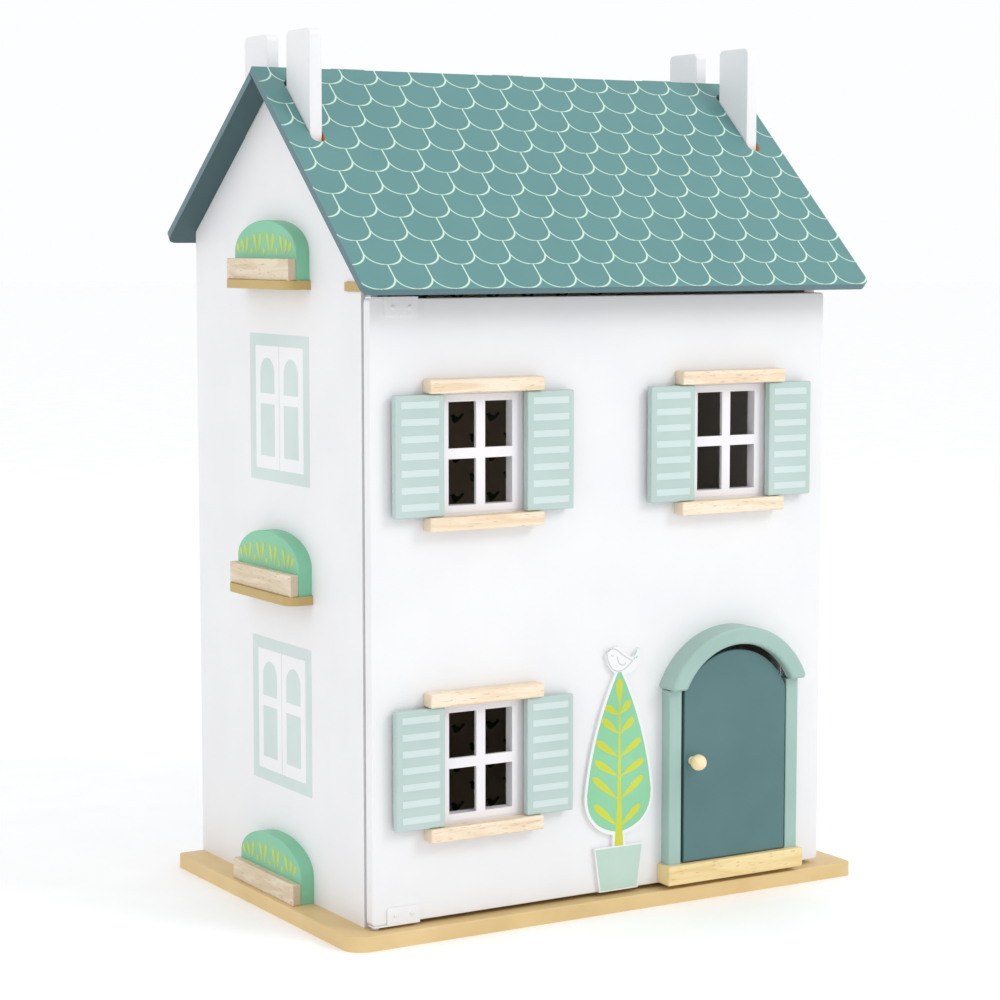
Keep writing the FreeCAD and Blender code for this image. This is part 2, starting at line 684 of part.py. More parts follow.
# ---------------------------------------------------------------- door and its frame
def door_arch():
    """A ring segment with rounded feet and front edges, hollowed behind its front lip."""
    def rim(radius, turn):
        return ring_point(radius, turn, FRONT_Y)
    out = math.asin((ARCH_FOOT_Z - ARCH_CENTRE_Z) / ARCH_R_OUT)
    inn = math.asin((ARCH_FOOT_Z - ARCH_CENTRE_Z) / ARCH_R_IN)
    outer = arc(rim(ARCH_R_OUT, out), rim(ARCH_R_OUT, math.pi / 2), rim(ARCH_R_OUT, math.pi - out))
    inner = arc(rim(ARCH_R_IN, inn), rim(ARCH_R_IN, math.pi / 2), rim(ARCH_R_IN, math.pi - inn))
    right = line(rim(ARCH_R_IN, inn), rim(ARCH_R_OUT, out))
    left = line(rim(ARCH_R_IN, math.pi - inn), rim(ARCH_R_OUT, math.pi - out))
    ring = board_from_edges([outer, right, inner, left], V(0, -ARCH_D, 0))
    ring = ease(ring, 3.0, lambda edge: abs(edge.tangentAt(edge.FirstParameter).y) > 0.999)
    ring = ease(ring, 3.0, lambda edge: abs(middle(edge).y - (FRONT_Y - ARCH_D)) < 0.01)
    hollow = cylinder(REBATE_R, V(DOOR_X, FRONT_Y - REBATE_D, ARCH_CENTRE_Z), Y_AXIS, REBATE_D + 1)
    return ring.cut(hollow).cut(door_pin_bore(PIN_R))


def jamb(side):
    """Front layer of the door frame: an upright beside the door leaf."""
    x0, x1 = sorted((DOOR_X + side * DOOR_HALF, DOOR_X + side * (DOOR_HALF + JAMB_W)))
    front = FRONT_Y - 2 * JAMB_T
    post = box(x0, x1, front, FRONT_Y - JAMB_T, STEP_TOP, ARCH_FOOT_Z - JAMB_GAP)
    return ease(post, EASE, lambda edge: upright(edge) and abs(middle(edge).y - front) < 0.01)


JAMB_GAP = 0.7                       # between the jambs' tops and the arch's feet


def jamb_backs():
    """Back layer of the door frame, glued to the front behind the jambs."""
    backs = []
    for side in (-1, 1):
        x0, x1 = sorted((DOOR_X + side * DOOR_HALF, DOOR_X + side * (DOOR_HALF + JAMB_W - 0.8)))
        backs.append(box(x0, x1, FRONT_Y - JAMB_T, FRONT_Y, STEP_TOP, ARCH_FOOT_Z - JAMB_GAP))
    return backs


def doorstep():
    x0, x1 = DOOR_X - STEP_HALF, DOOR_X + STEP_HALF
    block = eased_box(x0, x1, FRONT_Y - STEP_D, FRONT_Y, STEP_Z, STEP_TOP, 1.5)
    return block.cut(door_pin_bore(PIN_R))


DOOR_PIN_INSET = 3.1
DOOR_PIN_OFFSET = LEAF_RIGHT - DOOR_PIN_INSET
DOOR_PIN_X = DOOR_X + DOOR_PIN_OFFSET
DOOR_PIN_Y = (LEAF_BACK_Y + LEAF_FRONT_Y) / 2
LEAF_LOW = STEP_TOP + LEAF_GAP
LEAF_TOP_AT_PIN = crown_z(LEAF_R, LEAF_CENTRE_Z, DOOR_PIN_OFFSET)
HOLLOW_AT_PIN = crown_z(REBATE_R, ARCH_CENTRE_Z, DOOR_PIN_OFFSET)
DOOR_PIN_BITE = 6.0


def door_pin_spans():
    low = (STEP_TOP - DOOR_PIN_BITE, LEAF_LOW + DOOR_PIN_BITE)
    high = (LEAF_TOP_AT_PIN - DOOR_PIN_BITE, HOLLOW_AT_PIN + DOOR_PIN_BITE)
    return [low, high]


def door_pin_bore(radius):
    bores = []
    for z0, z1 in door_pin_spans():
        bores.append(cylinder(radius, V(DOOR_PIN_X, DOOR_PIN_Y, z0 - 0.2), Z_AXIS, z1 - z0 + 0.4))
    return Part.makeCompound(bores)


def door_pins():
    """Fixed pins in the doorstep and the arch, on which the leaf turns."""
    return [cylinder(PIN_R, V(DOOR_PIN_X, DOOR_PIN_Y, z0), Z_AXIS, z1 - z0) for z0, z1 in door_pin_spans()]


def door_leaf():
    y = LEAF_BACK_Y
    left, right = DOOR_X - LEAF_LEFT, DOOR_X + LEAF_RIGHT
    high_left = V(left, y, crown_z(LEAF_R, LEAF_CENTRE_Z, LEAF_LEFT))
    high_right = V(right, y, crown_z(LEAF_R, LEAF_CENTRE_Z, LEAF_RIGHT))
    top = V(DOOR_X, y, LEAF_CENTRE_Z + LEAF_R)
    low_left, low_right = V(left, y, LEAF_LOW), V(right, y, LEAF_LOW)
    edges = [line(low_left, low_right), line(low_right, high_right)]
    edges += [arc(high_right, top, high_left), line(high_left, low_left)]
    leaf = board_from_edges(edges, V(0, -LEAF_T, 0))
    leaf = ease(leaf, EASE, lambda edge: abs(edge.tangentAt(edge.FirstParameter).y) < 0.5)
    return leaf.cut(door_pin_bore(PIN_R + PIN_FIT)).cut(knob_peg())


KNOB_PEG_R = 1.9
KNOB_NECK = 3.0                      # from the leaf's face to the ball


def knob_peg():
    start = V(DOOR_X - KNOB_X, LEAF_FRONT_Y + 4.5, KNOB_Z)
    return cylinder(KNOB_PEG_R, start, V(0, -1, 0), 4.5 + KNOB_NECK + KNOB_R)


def door_knob():
    """A turned ball on a short neck, with a peg that is glued into the leaf."""
    centre = V(DOOR_X - KNOB_X, LEAF_FRONT_Y - KNOB_NECK - KNOB_R, KNOB_Z)
    ball = Part.makeSphere(KNOB_R, centre)
    neck = Part.makeCone(3.4, 2.6, KNOB_NECK + 1.5, V(centre.x, LEAF_FRONT_Y, centre.z), V(0, -1, 0))
    return ball.fuse(neck).fuse(knob_peg()).removeSplitter()


# ---------------------------------------------------------------- cut-out tree beside the door
TREE_LOW = 15.7
POT_H = 36.5
POT_HALF_TOP = 23.5
POT_HALF_LOW = 18.5
TRUNK_HALF = 6.0
CROWN_LOW = 61.0
CROWN_WIDE_Z = 96.0
CROWN_TIP = 196.0
CROWN_HALF = 33.0
BIRD_LOW = 192.0


def tree_plaque():
    """One thin board cut to the outline of a potted tree with a small bird on its tip."""
    y = FRONT_Y
    pot_top = TREE_LOW + POT_H
    pot = [V(TREE_X - POT_HALF_LOW, y, TREE_LOW), V(TREE_X + POT_HALF_LOW, y, TREE_LOW)]
    pot += [V(TREE_X + POT_HALF_TOP, y, pot_top), V(TREE_X - POT_HALF_TOP, y, pot_top)]
    board = Part.Face(Part.makePolygon(pot + pot[:1])).extrude(V(0, -TREE_T, 0))
    trunk = box(TREE_X - TRUNK_HALF, TREE_X + TRUNK_HALF, y - TREE_T, y, pot_top - 1, CROWN_LOW + 6)
    board = board.fuse(trunk)
    board = board.fuse(tree_crown(y)).fuse(bird_outline(y))
    board = board.removeSplitter()
    return board


def tree_crown(y):
    """A pointed leaf: round below its widest place, with two long curves up to the tip."""
    def half(side):
        low = V(TREE_X, y, CROWN_LOW)
        wide = V(TREE_X + side * CROWN_HALF, y, CROWN_WIDE_Z)
        tip = V(TREE_X + side * 3.0, y, CROWN_TIP)
        round_mid = V(TREE_X + side * CROWN_HALF * 0.76, y, CROWN_LOW + (CROWN_WIDE_Z - CROWN_LOW) * 0.32)
        upper_mid = V(TREE_X + side * CROWN_HALF * 0.69, y, (CROWN_WIDE_Z + CROWN_TIP) / 2 + 1.0)
        return [arc(low, round_mid, wide), arc(wide, upper_mid, tip)]
    right, left = half(1), half(-1)
    tips = line(V(TREE_X + 3.0, y, CROWN_TIP), V(TREE_X - 3.0, y, CROWN_TIP))
    return board_from_edges(right + [tips] + left, V(0, -TREE_T, 0))


def bird_outline(y):
    """A plump sitting bird: round breast, small beak to the left, tail to the right."""
    def at(x, z):
        return V(TREE_X + x, y, BIRD_LOW + z)
    beak = [at(-13.5, 16.5), at(-9.0, 19.5)]
    edges = [line(beak[0], beak[1])]
    edges.append(arc(at(-9.0, 19.5), at(-2.0, 22.0), at(5.0, 17.0)))
    edges.append(line(at(5.0, 17.0), at(12.0, 12.5)))
    edges.append(line(at(12.0, 12.5), at(18.5, 19.5)))
    edges.append(line(at(18.5, 19.5), at(19.5, 9.0)))
    edges.append(arc(at(19.5, 9.0), at(2.0, -1.0), at(-11.0, 8.0)))
    edges.append(arc(at(-11.0, 8.0), at(-12.2, 12.0), at(-13.5, 16.5)))
    return board_from_edges(edges, V(0, -TREE_T, 0))


# ---------------------------------------------------------------- pivots and catch of the swinging front
BRACKET_T = 1.2
BRACKET_X0 = 12.5
BRACKET_X1 = 41.0
BRACKET_H = 13.0
COLLAR_R = 4.0


def bracket(edge_z, up):
    """An angle plate on the front's face that wraps round its edge and reaches the corner pivot."""
    face_x0, face_x1 = -HALF_W + BRACKET_X0, -HALF_W + BRACKET_X1
    z0, z1 = sorted((edge_z + up * BRACKET_T, edge_z - up * BRACKET_H))
    plate = box(face_x0, face_x1, FRONT_Y - BRACKET_T, FRONT_Y, z0, z1)
    plate = ease(plate, 2.0, lambda edge: abs(edge.tangentAt(edge.FirstParameter).y) > 0.999
                 and abs(middle(edge).z - edge_z) > BRACKET_T + 1)
    arm_z0, arm_z1 = sorted((edge_z, edge_z + up * BRACKET_T))
    arm = box(-HALF_W + 1, face_x1, FRONT_Y - BRACKET_T, PIVOT_Y + 4, arm_z0, arm_z1)
    hole = cylinder(PIVOT_R, V(PIVOT_X, PIVOT_Y, edge_z - 3), Z_AXIS, 6)
    made = plate.fuse(arm).removeSplitter().cut(hole)
    return drilled(made, bracket_seats(), -Y_AXIS)


def bracket_seats():
    """Two screw seats on each bracket's face."""
    inset = 7.0
    xs = (-HALF_W + BRACKET_X0 + inset, -HALF_W + BRACKET_X1 - inset)
    zs = (FACADE_TOP - BRACKET_H / 2, FACADE_BOTTOM + BRACKET_H / 2)
    return [V(x, FRONT_Y - BRACKET_T, z) for z in zs for x in xs]


def bracket_screws():
    return [pan_screw(seat, -Y_AXIS) for seat in bracket_seats()]


def facade_pivot_pins():
    """Steel pins with a collar: one in the base board's hole, one in the attic floor's ear."""
    low = cylinder(PIVOT_R, V(PIVOT_X, PIVOT_Y, BASE_T - 7), Z_AXIS, FACADE_BOTTOM + 7.5 - BASE_T + 7)
    low_collar_h = FACADE_BOTTOM - BRACKET_T - BASE_T - 0.1
    low_collar = cylinder(COLLAR_R, V(PIVOT_X, PIVOT_Y, BASE_T + 0.1), Z_AXIS, low_collar_h)
    top_start = FACADE_TOP - 7.5
    top_end = ATTIC_FLOOR_Z + FLOOR_T - 0.5
    high = cylinder(PIVOT_R, V(PIVOT_X, PIVOT_Y, top_start), Z_AXIS, top_end - top_start)
    high_collar_z = FACADE_TOP + BRACKET_T
    high_collar_h = ATTIC_FLOOR_Z - 0.3 - high_collar_z
    high_collar = cylinder(COLLAR_R, V(PIVOT_X, PIVOT_Y, high_collar_z), Z_AXIS, high_collar_h)
    return [low.fuse(low_collar), high.fuse(high_collar)]


MAGNET_R = 3.0
MAGNET_DEPTH = 8.0
CATCH_X = HALF_W - WALL_T / 2
CATCH_Z = 300.0
CATCH_PLATE_T = 1.2


def catch_magnet():
    """A round magnet let into the right gable wall's front edge, standing proud of it."""
    proud = FACADE_GAP - CATCH_PLATE_T - 0.3
    return cylinder(MAGNET_R, V(CATCH_X, GABLE_FRONT_Y - proud, CATCH_Z), Y_AXIS, MAGNET_DEPTH + proud)


def catch_plate():
    disc = cylinder(4.2, V(CATCH_X - 0.1, FACADE_BACK_Y, CATCH_Z), Y_AXIS, CATCH_PLATE_T)
    return disc


# ---------------------------------------------------------------- all sub-parts
def all_parts():
    parts = {"base_board": base_board()}
    for name, side in (("left", -1), ("right", 1)):
        parts[name + "_gable_wall"] = drill_for_roof(gable_wall(side), side)
        for level, z in zip(("ground", "first_floor", "attic"), planter_levels()):
            parts[f"{name}_{level}_plant_board"] = plant_board(side, z)
            parts[f"{name}_{level}_trough"] = trough(side, z)
        parts[name + "_door_jamb"] = jamb(side)
    parts["back_wall"] = back_wall()
    parts["first_floor_board"] = floor_board(FIRST_FLOOR_Z)
    parts["attic_floor_board"] = attic_floor_board()
    parts["wallpaper_panels"] = wallpaper_panels()
    parts["base_screws"] = base_screws()
    parts["roof_back_panel"] = roof_back_panel()
    parts["roof_back_screws"] = roof_screws()
    parts["roof_hinge_fixed_leaves"] = hinge_fixed_leaves()
    parts["roof_hinge_pins"] = hinge_pins()
    parts["roof_hinge_fixed_screws"] = [pan_screw(seat, BACK_RISE) for seat in fixed_leaf_seats()]
    parts["roof_front_panel"] = roof_front_panel()
    parts["roof_hinge_moving_screws"] = [pan_screw(seat, FRONT_UP) for seat in moving_leaf_seats()]
    parts["roof_hinge_moving_leaves"] = hinge_moving_leaves()
    parts["facade_panel"] = facade_panel()
    for name, x, sill_z in window_places():
        parts[name + "_window_frame"] = window_frame(x, sill_z)
        parts[name + "_lintel"] = lintel(x, sill_z)
        parts[name + "_sill"] = sill(x, sill_z)
        parts[name + "_shutter_left"] = shutter(x, sill_z, -1)
        parts[name + "_shutter_right"] = shutter(x, sill_z, 1)
    parts["shutter_pins"] = shutter_pins()
    parts["door_arch"] = door_arch()
    parts["door_jamb_backs"] = jamb_backs()
    parts["doorstep"] = doorstep()
    parts["door_pins"] = door_pins()
    parts["door_leaf"] = door_leaf()
    parts["door_knob"] = door_knob()
    parts["tree_plaque"] = tree_plaque()
    parts["top_pivot_bracket"] = bracket(FACADE_TOP, 1)
    parts["bottom_pivot_bracket"] = bracket(FACADE_BOTTOM, -1)
    parts["pivot_bracket_screws"] = bracket_screws()
    parts["facade_pivot_pins"] = facade_pivot_pins()
    parts["catch_magnet"] = catch_magnet()
    parts["catch_plate"] = catch_plate()
    return parts


def write(parts):
    os.makedirs("parts", exist_ok=True)
    for name, made in parts.items():
        solids = made if isinstance(made, list) else [made]
        shape = Part.makeCompound([solid for item in solids for solid in item.Solids])
        valid = "ok" if shape.isValid() else "NOT VALID"
        print(f"{name}: {len(shape.Solids)} solids, {shape.Volume / 1000:.1f} cm3, {valid}")
        shape.exportStep(f"parts/{name}.step")


if __name__ == "__main__":
    write(all_parts())
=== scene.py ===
# %% [markdown]
# # A wooden doll's house, finished in Blender
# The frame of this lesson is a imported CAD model: every board, block, pin and screw of the house is
# already in its place. Blender's work is the looks: paint, print, bare wood and metal, the printed
# decoration, the light and the camera. The CAD objects are never moved, so every new piece takes
# its place from them.

# %% Load the frame
import math
import random

import bmesh
import bpy
from mathutils import Matrix, Vector


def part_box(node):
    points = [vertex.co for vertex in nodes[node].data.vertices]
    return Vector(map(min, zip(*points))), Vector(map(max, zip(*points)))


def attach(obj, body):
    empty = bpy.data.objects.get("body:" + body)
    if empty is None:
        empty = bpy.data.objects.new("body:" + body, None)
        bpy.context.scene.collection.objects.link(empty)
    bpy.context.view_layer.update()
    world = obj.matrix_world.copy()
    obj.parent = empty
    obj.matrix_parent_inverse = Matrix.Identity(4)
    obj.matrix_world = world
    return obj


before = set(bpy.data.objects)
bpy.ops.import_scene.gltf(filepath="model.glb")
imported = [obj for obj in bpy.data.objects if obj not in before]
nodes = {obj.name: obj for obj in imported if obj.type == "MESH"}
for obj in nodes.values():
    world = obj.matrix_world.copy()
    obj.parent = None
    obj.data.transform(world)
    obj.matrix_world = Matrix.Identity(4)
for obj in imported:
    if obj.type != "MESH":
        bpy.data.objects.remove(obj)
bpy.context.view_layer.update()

MM = 0.001

# %% [markdown]
# ## The camera
# The house is seen from its left front corner, a little above the middle of the front. A long lens
# keeps the upright edges nearly parallel, as a product photographer would. The camera looks along
# its own -Z axis, so it is first tipped up from the floor and then turned about the upright axis.

# %% Camera
def make_camera(place, turn_deg, tip_deg, lens_mm):
    data = bpy.data.cameras.new("camera")
    data.lens = lens_mm
    data.sensor_width = 36.0
    data.clip_end = 100.0
    camera = bpy.data.objects.new("camera", data)
    camera.location = Vector(place) * MM
    camera.rotation_euler = (math.radians(90 - tip_deg), 0, math.radians(-turn_deg))
    bpy.context.scene.collection.objects.link(camera)
    bpy.context.scene.camera = camera
    return camera


camera = make_camera((-1118.9, -1849.3, 538.4), turn_deg=30.995, tip_deg=5.80, lens_mm=92.6)
print("camera", tuple(round(v, 3) for v in camera.location))

# %% [markdown]
# ## Light and floor
# White toys are shown on a white sweep under very soft light. A white world gives the even light that
# comes from every side. The key is a large area lamp at the upper right, which gives the front its
# brightness and the blocks their soft shadows, down and to the left. The fill is a weaker, larger lamp
# at the left, which keeps the left wall from going grey. The floor is one large pale sheet, because a
# curved backdrop would stand in the way of a camera that walks round the house.

# %% Light and floor
def make_lamp(name, place, target, size, watts):
    data = bpy.data.lights.new(name, "AREA")
    data.shape = "DISK"
    data.size = size
    data.energy = watts
    lamp = bpy.data.objects.new(name, data)
    lamp.location = place
    lamp.rotation_euler = (Vector(target) - Vector(place)).to_track_quat("-Z", "Y").to_euler()
    bpy.context.scene.collection.objects.link(lamp)


house_middle = (0.0, 0.0, 0.35)
KEY_WATTS = 28
FILL_WATTS = 8
COOL_WHITE = (0.985, 0.99, 1.0, 1.0)
make_lamp("key", (1.5, -2.4, 2.2), house_middle, size=1.3, watts=KEY_WATTS)
make_lamp("fill", (-2.6, -0.7, 1.3), house_middle, size=2.0, watts=FILL_WATTS)

world = bpy.data.worlds.new("white_studio")
world.use_nodes = True
background = world.node_tree.nodes["Background"]
background.inputs["Color"].default_value = COOL_WHITE
background.inputs["Strength"].default_value = 1.0
bpy.context.scene.world = world
bpy.context.scene.view_settings.view_transform = "Standard"

# %% [markdown]
# ## Tools for finishes
# A finish is a small tree of nodes. Two helpers are enough for all of them. One turns the sRGB hex
# value of a colour into the linear numbers that a shader works with. The other adds a node, sets
# its values and links its inputs in one line, so that a recipe reads from top to bottom.

# %% Tools for finishes
def linear(hex_colour):
    channels = [int(hex_colour[i:i + 2], 16) / 255 for i in (1, 3, 5)]
    return [c / 12.92 if c <= 0.04045 else ((c + 0.055) / 1.055) ** 2.4 for c in channels] + [1.0]


def add(tree, kind, inputs=None, **settings):
    """Add a node; an input is a value, or the output socket of another node."""
    node = tree.nodes.new(kind)
    for key, value in settings.items():
        setattr(node, key, value)
    for key, value in (inputs or {}).items():
        if isinstance(value, bpy.types.NodeSocket):
            tree.links.new(value, node.inputs[key])
        else:
            node.inputs[key].default_value = value
    return node


def start_finish(name, **constants):
    """A material with one Principled shader, whose constants stay on its own sockets."""
    material = bpy.data.materials.new(name)
    material.use_nodes = True
    tree = material.node_tree
    shader = tree.nodes["Principled BSDF"]
    for key, value in constants.items():
        shader.inputs[key.replace("_", " ")].default_value = value
    return material, tree, shader


def dress(material, *names):
    """Give CAD nodes a finish through their material slots."""
    for name in names:
        for slot in nodes[name].material_slots:
            slot.material = material


print("teal in linear light:", [round(v, 3) for v in linear("#5d7e80")])

# %% [markdown]
# ## Sprayed paint on board
# The walls, floors, door, shutters and plants are medium-density fibreboard with sprayed water-based
# paint, lightly sanded between coats. The eye gets three things from it: a colour that is not quite
# even over a hand's breadth, a fine orange peel that breaks up reflections, and a satin gloss that
# varies a little. A scan of real paint would need an image, so noise at the real sizes does it.

# %% Sprayed paint
PATCH_MM = 70.0     # uneven coats
PEEL_MM = 1.6       # orange peel; true peel is finer, drawn this coarse so that it shows


def sprayed_paint(name, light, dark, gloss=(0.42, 0.56), peel=0.10):
    material, tree, shader = start_finish(name, IOR=1.47, Coat_Weight=0.08, Coat_Roughness=0.35)
    place = add(tree, "ShaderNodeTexCoord").outputs["Object"]
    patch = add(tree, "ShaderNodeTexNoise", {"Vector": place, "Scale": 1000 / PATCH_MM, "Detail": 3.0})
    tone = add(tree, "ShaderNodeValToRGB", {"Fac": patch.outputs["Fac"]})
    tone.color_ramp.elements[0].position = 0.35
    tone.color_ramp.elements[0].color = linear(dark)
    tone.color_ramp.elements[1].position = 0.65
    tone.color_ramp.elements[1].color = linear(light)
    grit = add(tree, "ShaderNodeTexNoise", {"Vector": place, "Scale": 1000 / PEEL_MM, "Detail": 2.0})
    rough = add(tree, "ShaderNodeMapRange",
                {"Value": patch.outputs["Fac"], "To Min": gloss[0], "To Max": gloss[1]})
    bump = add(tree, "ShaderNodeBump",
               {"Height": grit.outputs["Fac"], "Strength": peel, "Distance": 0.4 * MM})
    tree.links.new(tone.outputs["Color"], shader.inputs["Base Color"])
    tree.links.new(rough.outputs["Result"], shader.inputs["Roughness"])
    tree.links.new(bump.outputs["Normal"], shader.inputs["Normal"])
    return material


white_wall = sprayed_paint("white_paint_on_board", "#e5e5e6", "#e2e2e4")
white_frame = sprayed_paint("white_paint_on_window_wood", "#eae7ea", "#e4e1e5", gloss=(0.36, 0.48))
tan_board = sprayed_paint("tan_paint_on_board", "#dbbf8b", "#d1b47d")
tan_floor = sprayed_paint("darker_tan_paint_on_board", "#bda267", "#b3985c")
door_teal = sprayed_paint("dark_teal_paint_on_door", "#4f7375", "#496c6e", gloss=(0.38, 0.5))
arch_sage = sprayed_paint("sage_paint_on_arch", "#9bb8b0", "#93b0a8", gloss=(0.36, 0.48))
shutter_green = sprayed_paint("pale_green_paint_on_shutters", "#b5c7c3", "#aec1bc")
bar_mint = sprayed_paint("mint_print_on_shutters", "#c8d7d5", "#c3d3d0", peel=0.04)
plant_green = sprayed_paint("leaf_green_paint_on_board", "#84c3a2", "#79b997")

dress(white_wall, "facade_panel", "back_wall", "left_gable_wall", "right_gable_wall", "tree_plaque")
dress(tan_board, "base_board")
dress(tan_floor, "first_floor_board", "attic_floor_board")
dress(door_teal, "door_leaf")
dress(arch_sage, "door_arch", "left_door_jamb", "right_door_jamb", "door_jamb_backs")
dress(white_frame, *[n for n in nodes if n.endswith("_window_frame")])
dress(shutter_green, *[n for n in nodes if "_shutter_" in n])
dress(plant_green, *[n for n in nodes if n.endswith("_plant_board")])
print("painted boards finished")

# %% [markdown]
# ## Bare rubberwood
# Lintels, sills, doorstep, knob and troughs are rubberwood under a thin matt varnish. It is a cream
# wood with wide soft bands and short brown pores that lie along the grain, and its sawn ends are
# duller and pinker than its faces. Noise stretched along the grain gives both, and the piece's own
# surface direction picks out the ends. The doorstep is yellower, and the troughs are a greyer board.

# %% Bare rubberwood
BAND_MM = 9.0
PORE_MM = 0.9
FIBRE_MM = 0.5
GRAIN_STRETCH = 0.11     # bands and pores are about nine times longer along the grain
X, Y = 0, 1              # the direction a piece's grain runs in


def bare_wood(name, light, band, pore, end, along):
    material, tree, shader = start_finish(name, IOR=1.5, Coat_Weight=0.05, Coat_Roughness=0.5)
    coordinates = add(tree, "ShaderNodeTexCoord")
    stretch = [1.0, 1.0, 1.0]
    stretch[along] = GRAIN_STRETCH
    grain = add(tree, "ShaderNodeMapping", {"Vector": coordinates.outputs["Object"], "Scale": stretch})
    bands = add(tree, "ShaderNodeTexNoise",
                {"Vector": grain.outputs["Vector"], "Scale": 1000 / BAND_MM, "Detail": 4.0,
                 "Distortion": 1.2})
    tone = add(tree, "ShaderNodeValToRGB", {"Fac": bands.outputs["Fac"]})
    tone.color_ramp.elements[0].position = 0.38
    tone.color_ramp.elements[0].color = linear(band)
    tone.color_ramp.elements[1].position = 0.6
    tone.color_ramp.elements[1].color = linear(light)
    pores = add(tree, "ShaderNodeTexNoise",
                {"Vector": grain.outputs["Vector"], "Scale": 1000 / PORE_MM, "Detail": 1.0})
    dashes = add(tree, "ShaderNodeMapRange",
                 {"Value": pores.outputs["Fac"], "From Min": 0.62, "From Max": 0.74, "To Max": 0.75})
    mixed = add(tree, "ShaderNodeMixRGB",
                {"Fac": dashes.outputs["Result"], "Color1": tone.outputs["Color"], "Color2": linear(pore)})
    facing = add(tree, "ShaderNodeSeparateXYZ", {"Vector": coordinates.outputs["Normal"]})
    outward = add(tree, "ShaderNodeMath", {0: facing.outputs[along]}, operation="ABSOLUTE")
    is_end = add(tree, "ShaderNodeMapRange",
                 {"Value": outward.outputs["Value"], "From Min": 0.7, "From Max": 0.9, "To Max": 0.8})
    finished = add(tree, "ShaderNodeMixRGB",
                   {"Fac": is_end.outputs["Result"], "Color1": mixed.outputs["Color"],
                    "Color2": linear(end)})
    fibre = add(tree, "ShaderNodeTexNoise",
                {"Vector": grain.outputs["Vector"], "Scale": 1000 / FIBRE_MM, "Detail": 2.0})
    rough = add(tree, "ShaderNodeMapRange",
                {"Value": bands.outputs["Fac"], "To Min": 0.5, "To Max": 0.68})
    bump = add(tree, "ShaderNodeBump",
               {"Height": fibre.outputs["Fac"], "Strength": 0.25, "Distance": 0.3 * MM})
    tree.links.new(finished.outputs["Color"], shader.inputs["Base Color"])
    tree.links.new(rough.outputs["Result"], shader.inputs["Roughness"])
    tree.links.new(bump.outputs["Normal"], shader.inputs["Normal"])
    return material


rubberwood = bare_wood("rubberwood", "#ecdcc6", "#dfc9aa", "#bf9c72", "#e2d0b6", along=X)
step_wood = bare_wood("yellow_rubberwood", "#ead49f", "#ddc389", "#c09e63", "#e2ca95", along=X)
knob_wood = bare_wood("turned_rubberwood", "#f6e6bf", "#ecd5a5", "#d9b983", "#f1dcb0", along=Y)
trough_wood = bare_wood("grey_rubberwood", "#ddcfb8", "#cdbb9f", "#ad9778", "#c3b095", along=Y)
dress(rubberwood, *[n for n in nodes if n.endswith(("_lintel", "_sill"))])
dress(step_wood, "doorstep")
dress(knob_wood, "door_knob")
dress(trough_wood, *[n for n in nodes if n.endswith("_trough")])
print("bare wood finished")

# %% [markdown]
# ## The printed roof
# Each roof panel is board painted dark teal all over, with a lighter teal print on its outer face: rows
# of round-ended shingles drawn with one pale mint line. At the lower end of each chimney slot the paint
# stops, and the raw orange-brown fibreboard shows. The print follows a rule, so it is drawn by
# arithmetic on the panel's own directions: how far down the slope a point is, and how far along the
# ridge. Each shingle is a straight-sided tongue with an elliptical end, and every other row moves by
# half a shingle. Long arithmetic is hard to read as nodes, so it is written first as a list of steps:
# the name of the result, the operation, and the earlier results or numbers that it works on.

# %% Shingle arithmetic
SHINGLE_W = 31.6
SHINGLE_H = 26.15
FIRST_ROW = 12.4         # start of the first whole row, below the apex
STRAIGHT = 13.0          # straight part of a shingle's side
ROUND = SHINGLE_H - STRAIGHT
LINE_W = 1.05            # the line swells towards the lower right, like a brush line
LINE_SWELL = 0.9

SHINGLE_STEPS = (
    ("below first row", "SUBTRACT", "down", FIRST_ROW),
    ("rows", "DIVIDE", "below first row", SHINGLE_H),
    ("row", "FLOOR", "rows"),
    ("part of row", "SUBTRACT", "rows", "row"),
    ("depth", "MULTIPLY", "part of row", SHINGLE_H),
    ("widths along", "DIVIDE", "along", SHINGLE_W),
    ("row shift", "MULTIPLY", "row", 0.5),
    ("columns", "ADD", "widths along", "row shift"),
    ("from left side", "ADD", "columns", 0.5),
    ("part of column", "FRACT", "from left side"),
    ("sideways", "SUBTRACT", "part of column", 0.5),
    ("across", "MULTIPLY", "sideways", 2.0),
    ("below straight", "SUBTRACT", "depth", STRAIGHT),
    ("tongue", "MAXIMUM", "below straight", 0.0),
    ("drop share", "DIVIDE", "tongue", ROUND),
    ("across squared", "MULTIPLY", "across", "across"),
    ("drop squared", "MULTIPLY", "drop share", "drop share"),
    ("squares", "ADD", "across squared", "drop squared"),
    ("radius", "SQRT", "squares"),
    ("past rim", "SUBTRACT", "radius", 1.0),
    ("edge", "ABSOLUTE", "past rim"),
    ("distance", "MULTIPLY", "edge", (SHINGLE_W / 2 + ROUND) / 2),
    ("to the right", "MAXIMUM", "across", 0.0),
    ("low down", "MINIMUM", "drop share", 1.0),
    ("swell", "MULTIPLY", "to the right", "low down"),
    ("half line", "MULTIPLY_ADD", "swell", LINE_SWELL / 2, LINE_W / 2),
    ("past line", "SUBTRACT", "distance", "half line"),
)
print("shingle steps:", len(SHINGLE_STEPS))
